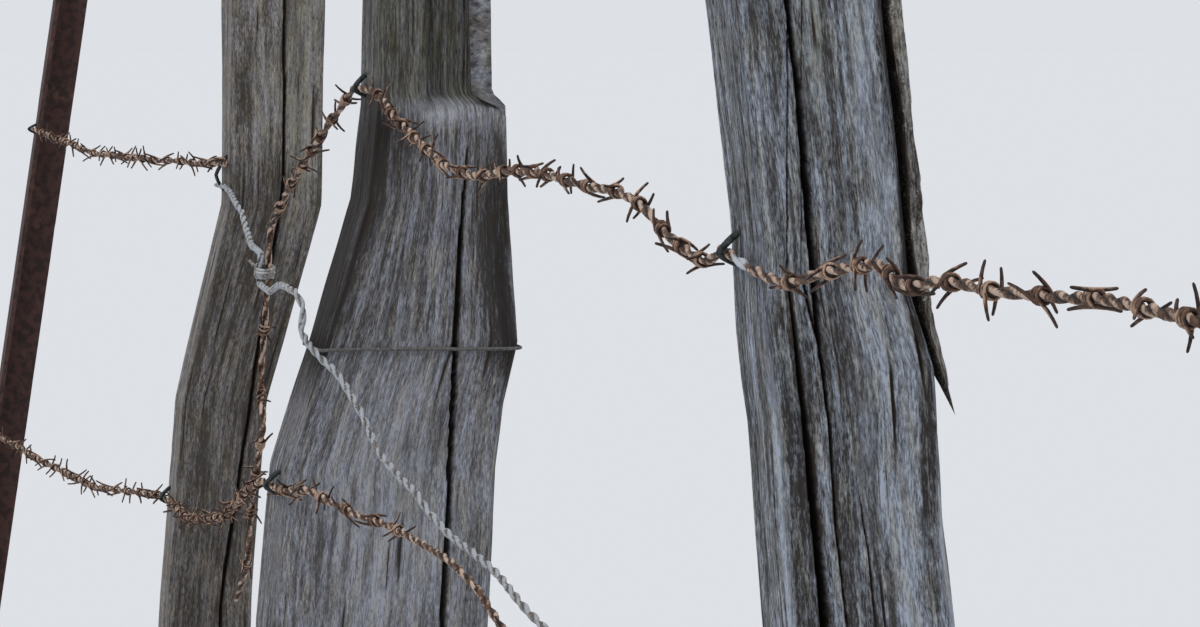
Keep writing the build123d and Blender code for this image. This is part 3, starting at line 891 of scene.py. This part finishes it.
def weathered_grain():
    """Silvered timber: long streaks of three widths, painted shade in the hollows, and growth rings on the
    ends.
    """
    group, given, made = node_group(
        "weathered_grain",
        "Lay",
        ("Pale", "Middle", "Dark", "Stain"),
        {
            "Shadowed": 0.0, "On End": 0.0, "Stained": 0.5, "Blotched": 0.5,
            "Tone": 0.0, "Moss": 0.0, "Seed": 0.0,
        },
        ("Roughness", "Height"),
    )
    offset = group.nodes.new("ShaderNodeCombineXYZ")
    put(group, offset.inputs["Z"], given["Seed"])

    def streaks(across, along, detail, rough=0.5):
        lay = stretch(group, given["Lay"], (across, along, 1), offset.outputs[0])
        return noise(group, lay, 1.0, detail, rough)

    fibres = streaks(1100, 190, 4, 0.72)
    flecks = streaks(460, 60, 3, 0.68)
    tone = scaled(group, fibres, 0.5)
    for layer, weight in (
        (flecks, 0.3),
        (streaks(230, 14, 2), 0.14),
        (streaks(45, 7, 2), 0.12),
        (given["Tone"], 0.09),
        # Painted shade: the hollows lower the tone a little.
        (given["Shadowed"], -0.1),
    ):
        tone = scaled(group, layer, weight, tone)
    color = blend(group, ramp(group, tone, 0.42, 0.5), given["Dark"], given["Middle"])
    color = blend(group, ramp(group, tone, 0.495, 0.59), color, given["Pale"])
    warmth = scaled(group, ramp(group, streaks(200, 30, 4), 0.46, 0.58), 0.7)
    color = blend(group, warmth, color, from_srgb(255, 245, 222), "MULTIPLY")
    patchy = scaled(group, fibres, 0.45, streaks(170, 32, 5, 0.75))
    patchy = scaled(group, given["Tone"], -0.12, patchy)
    blotches = scaled(group, ramp(group, patchy, 0.79, 0.87), given["Blotched"])
    color = blend(group, blotches, color, from_srgb(50, 45, 41))
    hairlines = scaled(group, ramp(group, streaks(640, 13, 1), 0.66, 0.74), 0.75)
    color = blend(group, hairlines, color, from_srgb(40, 36, 34))
    paler = scaled(group, given["Tone"], 0.55, clamp=True)
    color = blend(group, paler, color, given["Pale"])
    darker = scaled(group, given["Tone"], -0.75, clamp=True)
    color = blend(group, darker, color, from_srgb(110, 98, 88), "MULTIPLY")
    greener = scaled(group, given["Moss"], ramp(group, flecks, 0.36, 0.6))
    color = blend(group, scaled(group, greener, 0.6), color, from_srgb(112, 112, 82))
    patches = scaled(group, ramp(group, streaks(34, 7, 3), 0.5, 0.72), given["Stained"])
    color = blend(group, patches, color, given["Stain"], "SOFT_LIGHT")
    rings = group.nodes.new("ShaderNodeTexWave")
    rings.wave_type = "RINGS"
    rings.rings_direction = "Z"
    put(group, rings.inputs["Vector"], stretch(group, given["Lay"], (1, 1, 1), (0.02, 0.013, 0)))
    for label, value in (("Scale", 90.0), ("Distortion", 3.0), ("Detail", 2.0)):
        put(group, rings.inputs[label], value)
    end_tone = ramp(group, rings.outputs["Fac"], 0.1, 0.9)
    color = blend(group, given["On End"], color, blend(group, end_tone, given["Dark"], given["Middle"]))
    # Painted shade: the deepest hollows and cracks turn dark brown.
    deep = ramp(group, given["Shadowed"], 0.62, 1.0)
    put(group, made["Color"], blend(group, deep, color, from_srgb(50, 42, 36)))
    put(group, made["Roughness"], scaled(group, fibres, -0.2, 0.95))
    put(group, made["Height"], scaled(group, flecks, 0.5, fibres))
    return group


def lichen_crust():
    """Pale grey-green crusts in small cells, laid over a finish where Amount lets them."""
    group, given, made = node_group(
        "lichen_crust", "Place", ("Base", "Crust"), {"Amount": 0.3, "Scale": 300.0}
    )
    grains = noise(group, given["Place"], given["Scale"], 3, 0.7)
    area = noise(group, given["Place"], scaled(group, given["Scale"], 0.09), 3)
    wanted = scaled(group, area, 0.3, scaled(group, grains, 0.7))
    limit = scaled(group, given["Amount"], -0.5, 0.75)
    mask = ramp(group, wanted, limit, scaled(group, limit, 1.0, 0.06))
    put(group, made["Color"], blend(group, mask, given["Base"], given["Crust"]))
    return group


def rust_scale():
    """Rusted wire: dark scale, orange bloom, worn pale patches and pits, dark tips and bare zinc."""
    group, given, made = node_group(
        "rust_scale",
        "Place",
        ("Scale Color", "Bloom", "Worn"),
        {"Wear": 0.5, "Grain": 1.0, "Outer": 0.5, "Tip": 0.0, "Bare": 0.0},
        ("Roughness", "Height"),
    )

    def speckle(size, detail, rough=0.5):
        return noise(group, given["Place"], scaled(group, given["Grain"], size), detail, rough)

    fine, middling, broad = speckle(1500, 3, 0.7), speckle(420, 3), speckle(90, 2)
    outside = scaled(group, given["Outer"], 1.0, -0.5)
    bloom = ramp(group, scaled(group, outside, 0.3, middling), 0.38, 0.58)
    color = blend(group, bloom, given["Scale Color"], given["Bloom"])
    wear = scaled(group, broad, 0.65, scaled(group, middling, 0.35))
    wear = scaled(group, outside, 0.28, wear)
    limit = scaled(group, given["Wear"], -0.3, 0.66)
    worn = ramp(group, wear, limit, scaled(group, limit, 1.0, 0.14))
    color = blend(group, worn, color, given["Worn"])
    pits = scaled(group, ramp(group, fine, 0.44, 0.3), 0.6)
    color = blend(group, pits, color, from_srgb(48, 38, 34))
    ends = scaled(group, ramp(group, given["Tip"], 0.45, 0.95), 0.8)
    color = blend(group, ends, color, from_srgb(44, 34, 34))
    zinc = ramp(group, scaled(group, given["Bare"], 0.6, fine), 0.72, 0.9)
    put(group, made["Color"], blend(group, zinc, color, from_srgb(182, 186, 194)))
    put(group, made["Roughness"], scaled(group, fine, 0.25, 0.66))
    put(group, made["Height"], scaled(group, middling, 0.5, fine))
    return group


def new_material(name):
    material = bpy.data.materials.new(name)
    material.use_nodes = True
    tree = material.node_tree
    return material, tree, tree.nodes["Principled BSDF"].inputs


def place_group(tree, group, **values):
    node = tree.nodes.new("ShaderNodeGroup")
    node.node_tree = group
    for label, value in values.items():
        put(tree, node.inputs[label.replace("_", " ")], value)
    return node.outputs


def marked(tree, *labels):
    """Inputs that follow the attributes of the same names on the mesh."""
    return {label: attribute(tree, label.lower())["Fac"] for label in labels}


def bumped(tree, height, distance, strength):
    node = tree.nodes.new("ShaderNodeBump")
    put(tree, node.inputs["Height"], height)
    node.inputs["Distance"].default_value = distance
    node.inputs["Strength"].default_value = strength
    return node.outputs[0]


def object_place(tree):
    return tree.nodes.new("ShaderNodeTexCoord").outputs["Object"]


def dress(tree, shader, color, effect, relief, strength, specular):
    """A shader with the colour, and with the roughness and height of an effect."""
    put(tree, shader["Base Color"], color)
    put(tree, shader["Roughness"], effect["Roughness"])
    put(tree, shader["Normal"], bumped(tree, effect["Height"], relief, strength))
    shader["Specular IOR Level"].default_value = specular


GRAIN = weathered_grain()
CRUST = lichen_crust()
RUST = rust_scale()


def wood_finish(name, pale, middle, dark, stain, stained, blotched, seed, lichen, crust_size=420.0):
    """Timber in three tones, with shares of stain, blotches and lichen."""
    material, tree, shader = new_material(name)
    grain = place_group(
        tree,
        GRAIN,
        Lay=attribute(tree, "lay")["Vector"],
        Pale=from_srgb(*pale),
        Middle=from_srgb(*middle),
        Dark=from_srgb(*dark),
        Stain=from_srgb(*stain),
        Stained=stained,
        Blotched=blotched,
        Seed=seed,
        **marked(tree, "Shadowed", "On_End", "Tone", "Moss"),
    )
    crust = place_group(
        tree,
        CRUST,
        Place=object_place(tree),
        Base=grain["Color"],
        Crust=from_srgb(146, 146, 138),
        Amount=lichen,
        Scale=crust_size,
    )
    dress(tree, shader, crust["Color"], grain, 0.5 * MM, 0.8, 0.25)
    return material


def rust_finish(name, scale, bloom, worn, wear, grain=1.0, metal=0.0, marks=()):
    """Rust in three tones, which may follow the attributes of its wires, such as their tips."""
    material, tree, shader = new_material(name)
    rust = place_group(
        tree,
        RUST,
        Place=object_place(tree),
        Scale_Color=from_srgb(*scale),
        Bloom=from_srgb(*bloom),
        Worn=from_srgb(*worn),
        Wear=wear,
        Grain=grain,
        **marked(tree, *marks),
    )
    dress(tree, shader, rust["Color"], rust, 0.25 * MM, 0.9, 0.35)
    shader["Metallic"].default_value = metal
    return material


# Pale, middle and dark tones, the stain, its share, the blotches' share, a seed and the lichen's share
silver_wood = wood_finish(
    "silver_wood", (158, 166, 179), (106, 110, 118), (47, 46, 47), (120, 106, 80), 0.3, 0.85, 1.0, 0.03
)
dull_wood = wood_finish(
    "dull_wood", (148, 151, 160), (106, 107, 114), (60, 58, 59), (104, 98, 78), 0.4, 0.7, 7.0, 0.06
)
brown_wood = wood_finish(
    "brown_wood", (148, 146, 146), (112, 109, 109), (68, 64, 62), (98, 92, 72), 0.4, 0.5, 13.0, 0.08
)
bark_wood = wood_finish(
    "bark_wood", (148, 147, 146), (100, 97, 96), (48, 43, 40), (104, 98, 80), 0.4, 1.0, 19.0, 0.38, 700.0
)

# Scale, bloom and worn tones, the wear and the size of the grain
strand_rust = rust_finish(
    "strand_rust", (34, 24, 20), (92, 66, 50), (186, 162, 145), 0.4, 0.9, marks=("Outer", "Bare")
)
barb_rust = rust_finish(
    "barb_rust", (34, 25, 22), (84, 60, 47), (166, 138, 118), 0.36, 0.8, marks=("Outer", "Tip")
)
stake_rust = rust_finish("stake_rust", (42, 27, 25), (66, 42, 37), (88, 64, 55), 0.3, 0.25)
staple_steel = rust_finish("staple_steel", (42, 46, 46), (66, 71, 70), (126, 132, 132), 0.25, metal=0.4)
zinc_wire = rust_finish(
    "zinc_wire", (92, 90, 90), (126, 120, 114), (164, 168, 174), 0.72, metal=0.2, marks=("Outer",)
)
band_wire = rust_finish("band_wire", (70, 68, 68), (92, 90, 88), (112, 112, 112), 0.4)
knot_wire = rust_finish("knot_wire", (110, 108, 106), (150, 146, 140), (176, 178, 180), 0.72, metal=0.2)

# The post in focus
near_upper = (
    (0.9, -0.0955, 0.3), (1.0, -0.106, 0.35), (1.055, -0.1105, 0.45), (1.104, -0.1165, 0.8),
    (1.139, -0.119, 1.2), (1.2, -0.1245, 1.2), (1.25, -0.13, 0.9), (1.39, -0.146, 1),
)
near_lower = (
    (0.06, -0.034, 0.5), (0.5, -0.072, 1.0), (0.957, -0.112, 1.25), (1.03, -0.1195, 1),
    (1.09, -0.1265, 0.6), (1.135, -0.132, 0.2),
)
near_short = ((0.93, -0.084, 0.1), (0.988, -0.09, 0.6), (1.04, -0.098, 0.1))
near_fine = ((1.086, -0.1129, 0.1), (1.104, -0.118, 0.8), (1.122, -0.1225, 1), (1.132, -0.125, 0.3))
near_splinter = ((1.07, -0.062, 0.2), (1.09, -0.065, 1), (1.12, -0.071, 0.8), (1.14, -0.074, 0.2))
near_splits = (
    Split(NEAR, near_upper, 1.7 * MM, 24 * MM),
    Split(NEAR, near_lower, 2.2 * MM, 22 * MM),
    Split(NEAR, near_short, 0.9 * MM, 12 * MM),
    Split(NEAR, near_fine, 0.9 * MM, 8 * MM),
    Split(NEAR, near_splinter, 0.9 * MM, 5 * MM),
)
near_marks = (
    Mark(NEAR, ((0.9, -0.066, 0.5), (1.08, -0.074, 0.5), (1.22, -0.09, 1), (1.39, -0.11, 0.6)), 8 * MM, 0.45),
    Mark(NEAR, ((0.96, -0.09, 0), (1.01, -0.093, 1), (1.12, -0.096, 1), (1.17, -0.1, 0)), 6 * MM, 0.2),
    Mark(NEAR, ((0.9, -0.05, 0), (0.98, -0.058, 1), (1.087, -0.063, 1), (1.13, -0.068, 0)), 5 * MM, -0.3),
    # Pale lines along both edges of the near face, fading out at about 1.04 and 1.14 m: painted highlight on
    # the rounded edges.
    Mark(NEAR, ((0, 0.043, 1), (0.96, -0.046, 1), (1.0, -0.05, 1), (1.04, -0.0535, 0)), 3.5 * MM, 0.7),
    Mark(NEAR, ((0, -0.043, 1), (0.96, -0.1315, 1), (1.08, -0.141, 1), (1.14, -0.1455, 0)), 4.5 * MM, 0.7),
    Mark(NEAR, ((1.12, -0.136, 0), (1.16, -0.14, 1), (1.385, -0.165, 1)), 18 * MM, 0.1),
    Mark(NEAR, ((0, -0.03, 1), (0.96, -0.12, 1), (1.07, -0.13, 1), (1.12, -0.136, 0)), 7 * MM, -0.25),
    Mark(NEAR, ((1.19, -0.112, 0), (1.235, -0.117, 1), (1.3, -0.123, 1), (1.35, -0.13, 0)), 6 * MM, 0.1, 0.7),
    Mark(
        NEAR,
        ((1.09, -0.058, 0), (1.125, -0.0685, 1), (1.15, -0.0715, 1), (1.385, -0.0975, 1)),
        3.5 * MM,
        -0.9,
    ),
)
near_trims = (
    (0, 1.0, 0.3), (0.958, 0.9, 0.4), (1.01, 0.8, 1.5), (1.056, 1.3, 0.2), (1.075, 0.2, 0),
    (1.1, -0.6, 0), (1.13, 0, 0), (1.16, 0.9, 0), (1.2, 1.2, 0), (1.25, 1.2, 0), (1.39, 0.2, 0),
)
near_post = Timber(
    "timber_post_3", 3, (0.91, 1.29), (2 * MM, 12 * MM), (62, 165, 24, 24), near_splits, near_marks,
    trims=near_trims,
)
build_timber(near_post, silver_wood)

# The stout post behind it
stout_split = ((0.06, -0.12, 0.5), (0.7, -0.11, 1), (1.09, -0.092, 1), (1.18, -0.086, 0.2))
stout_edge = ((0.96, -0.057, 0), (1.02, -0.052, 1), (1.08, -0.06, 1), (1.15, -0.061, 1), (1.185, -0.062, 0))
stout_shade = (
    (1.02, -0.194, 0), (1.047, -0.19, 1), (1.084, -0.178, 1), (1.121, -0.164, 1), (1.186, -0.15, 1),
    (1.2, -0.15, 0),
)
stout_marks = (
    Mark(NEAR, ((1.196, -0.11, 0), (1.208, -0.11, 1), (1.4, -0.11, 1)), 70 * MM, -0.35, 0.45),
    Mark(FRONT, ((1.19, -1.35, 0), (1.23, -1.35, 1), (1.4, -1.35, 1)), 90 * MM, -0.35, 0.3),
    # A paler band across the slope of the cut-back shoulder, which faces up: painted highlight.
    Mark(NEAR, ((1.18, -0.09, 0), (1.192, -0.09, 1), (1.202, -0.09, 1), (1.208, -0.09, 0)), 24 * MM, 0.55),
    Mark(NEAR, stout_edge, 10 * MM, -0.9),
    Mark(NEAR, ((0, -0.17, 1), (0.95, -0.15, 1), (1.05, -0.14, 0)), 60 * MM, 0.35),
    Mark(FRONT, ((0.98, -1.35, 0), (1.03, -1.35, 1), (1.19, -1.35, 1), (1.21, -1.35, 0.4)), 90 * MM, -1.0),
    Mark(NEAR, stout_shade, 19 * MM, -1.0),
)
stout_post = Timber(
    "timber_post_2", 2, (0.85, 1.36), (4 * MM, 12 * MM), (66, 88, 36, 36),
    (Split(NEAR, stout_split, 1.8 * MM, 20 * MM),), stout_marks,
)
build_timber(stout_post, dull_wood, shoulder)

# The crooked post by the stake
crooked_split = ((0.08, -0.13, 0.2), (0.72, -0.112, 1), (1.113, -0.052, 1), (1.34, -0.05, 0.7))
crooked_marks = (
    Mark(NEAR, ((1.06, -0.03, 0), (1.14, -0.03, 1), (1.33, -0.03, 1)), 20 * MM, 0.2, 0.5),
    Mark(NEAR, ((0, -0.1, 1), (0.9, -0.1, 1), (1.1, -0.1, 1), (1.16, -0.1, 0)), 80 * MM, -0.4),
    Mark(NEAR, ((1.05, -0.165, 0), (1.068, -0.161, 1), (1.085, -0.157, 0)), 12 * MM, -1.0),
)
crooked_post = Timber(
    "timber_post_1", 1, (0.8, 1.3), (6 * MM, 14 * MM), (50, 60, 34, 34),
    (Split(NEAR, crooked_split, 1.5 * MM, 14 * MM),), crooked_marks,
)
build_timber(crooked_post, brown_wood)

# The two posts on the near side of the one in focus, each with a crack on its far side
for number, material, stations in (
    (4, dull_wood, ((0.06, -0.07, 0.2), (0.64, -0.074, 1), (1.35, -0.092, 1))),
    (5, brown_wood, ((0.3, -0.11, 0.2), (0.9, -0.098, 1), (1.37, -0.084, 1))),
):
    crack = Split(FAR, stations, 2.4 * MM, 22 * MM)
    post = Timber(
        f"timber_post_{number}", number, (0.9, 1.3), (8 * MM, 13 * MM), (44, 44, 30, 52), (crack,)
    )
    build_timber(post, material)

# The loose strip of sapwood
strip_trims = (
    (1.1, 0, 0), (1.12, 0, 1.2), (1.14, 0, 0.2), (1.16, 1.0, 0.6), (1.18, 2.4, 0), (1.2, 2.8, 1.3),
    (1.22, 3.0, 0.8), (1.24, 1.6, 0.4), (1.26, 1.4, 0.3), (1.28, 2.6, 0),
)
# Its front side, seen in the gap beside the post, is darkened all over with painted shade.
strip = Timber(
    "sapwood_strip", 8, (1.065, 1.3), (1.4 * MM, 3 * MM), (36, 16, 36, 8),
    edge=1.2 * MM, relief=0.6, trims=strip_trims, painted_shade_sides=(FRONT,),
)
build_timber(strip, bark_wood, ragged)

# Seed, step, sides of the plies and of the barbs, and steps in a turn of a barb: finest at eye level
build_strand("top", 11, 4.5 * MM, 10, 8, 14)
build_strand("top_end", 12, 6 * MM, 8, 6, 10)
build_strand("second", 13, 5.5 * MM, 8, 6, 8)
build_strand("third", 14, 6.5 * MM, 6, 5, 6)
build_strand("bottom", 15, 6.5 * MM, 6, 5, 6)
build_repair_wire()
build_knot()
build_wrap()
build_stake()
build_staples("stake_ties", TIE_R, 8, sink=7 * MM, bend_back=4 * MM)
for number in range(1, 6):
    build_staples(f"staples_post_{number}", STAPLE_R, 12, sink=5 * MM, askew=5 * MM)


# The stage: a pale floor, a plain pale sky for the camera, and soft lamps


def build_floor():
    angles = full_turn(FLOOR_SIDES)
    ring = np.stack([np.cos(angles) * FLOOR_R, np.sin(angles) * FLOOR_R, angles * 0], axis=1)
    mesh = bpy.data.meshes.new("floor")
    mesh.from_pydata(ring.tolist(), [], [list(range(FLOOR_SIDES))])
    material, tree, shader = new_material("pale_floor")
    shader["Base Color"].default_value = FLOOR_COLOR
    shader["Roughness"].default_value = 1.0
    shader["Specular IOR Level"].default_value = 0.0
    mesh.materials.append(material)
    floor = bpy.data.objects.new("floor", mesh)
    bpy.context.scene.collection.objects.link(floor)


def sun(name, strength, size, turn):
    """A distant lamp, its size and turn in degrees."""
    lamp = bpy.data.lights.new(name, "SUN")
    lamp.energy = strength
    lamp.angle = radians(size)
    holder = bpy.data.objects.new(name, lamp)
    holder.rotation_euler = [radians(a) for a in turn]
    bpy.context.scene.collection.objects.link(holder)


def build_world():
    """The backdrop as seen, also in reflections, and a softer light on the fence."""
    world = bpy.data.worlds.new("studio")
    world.use_nodes = True
    tree = world.node_tree
    backdrop = tree.nodes["Background"]
    backdrop.inputs["Color"].default_value = BACKDROP
    backdrop.inputs["Strength"].default_value = 1.0
    ambient = tree.nodes.new("ShaderNodeBackground")
    ambient.inputs["Color"].default_value = AMBIENT
    ambient.inputs["Strength"].default_value = AMBIENT_STRENGTH
    rays = tree.nodes.new("ShaderNodeLightPath").outputs
    seen = calculate(tree, "MAXIMUM", rays["Is Camera Ray"], rays["Is Glossy Ray"])
    seen = calculate(tree, "MAXIMUM", seen, rays["Is Transmission Ray"])
    mixed = tree.nodes.new("ShaderNodeMixShader")
    for socket, value in zip(mixed.inputs, (seen, ambient.outputs[0], backdrop.outputs[0])):
        put(tree, socket, value)
    put(tree, tree.nodes["World Output"].inputs["Surface"], mixed.outputs[0])
    bpy.context.scene.world = world


def build_camera():
    lens = bpy.data.cameras.new("camera")
    lens.lens = LENS
    lens.clip_end = 5 * FLOOR_R
    camera = bpy.data.objects.new("camera", lens)
    camera.location = CAMERA_PLACE
    camera.rotation_euler = [radians(a) for a in CAMERA_TURN]
    bpy.context.scene.collection.objects.link(camera)
    bpy.context.scene.camera = camera


build_floor()
build_world()
build_camera()
sun("key", 1.5, 40, (38, 0, 40))
sun("fill", 0.6, 60, (50, 0, 150))
bpy.context.scene.view_settings.view_transform = "Standard"
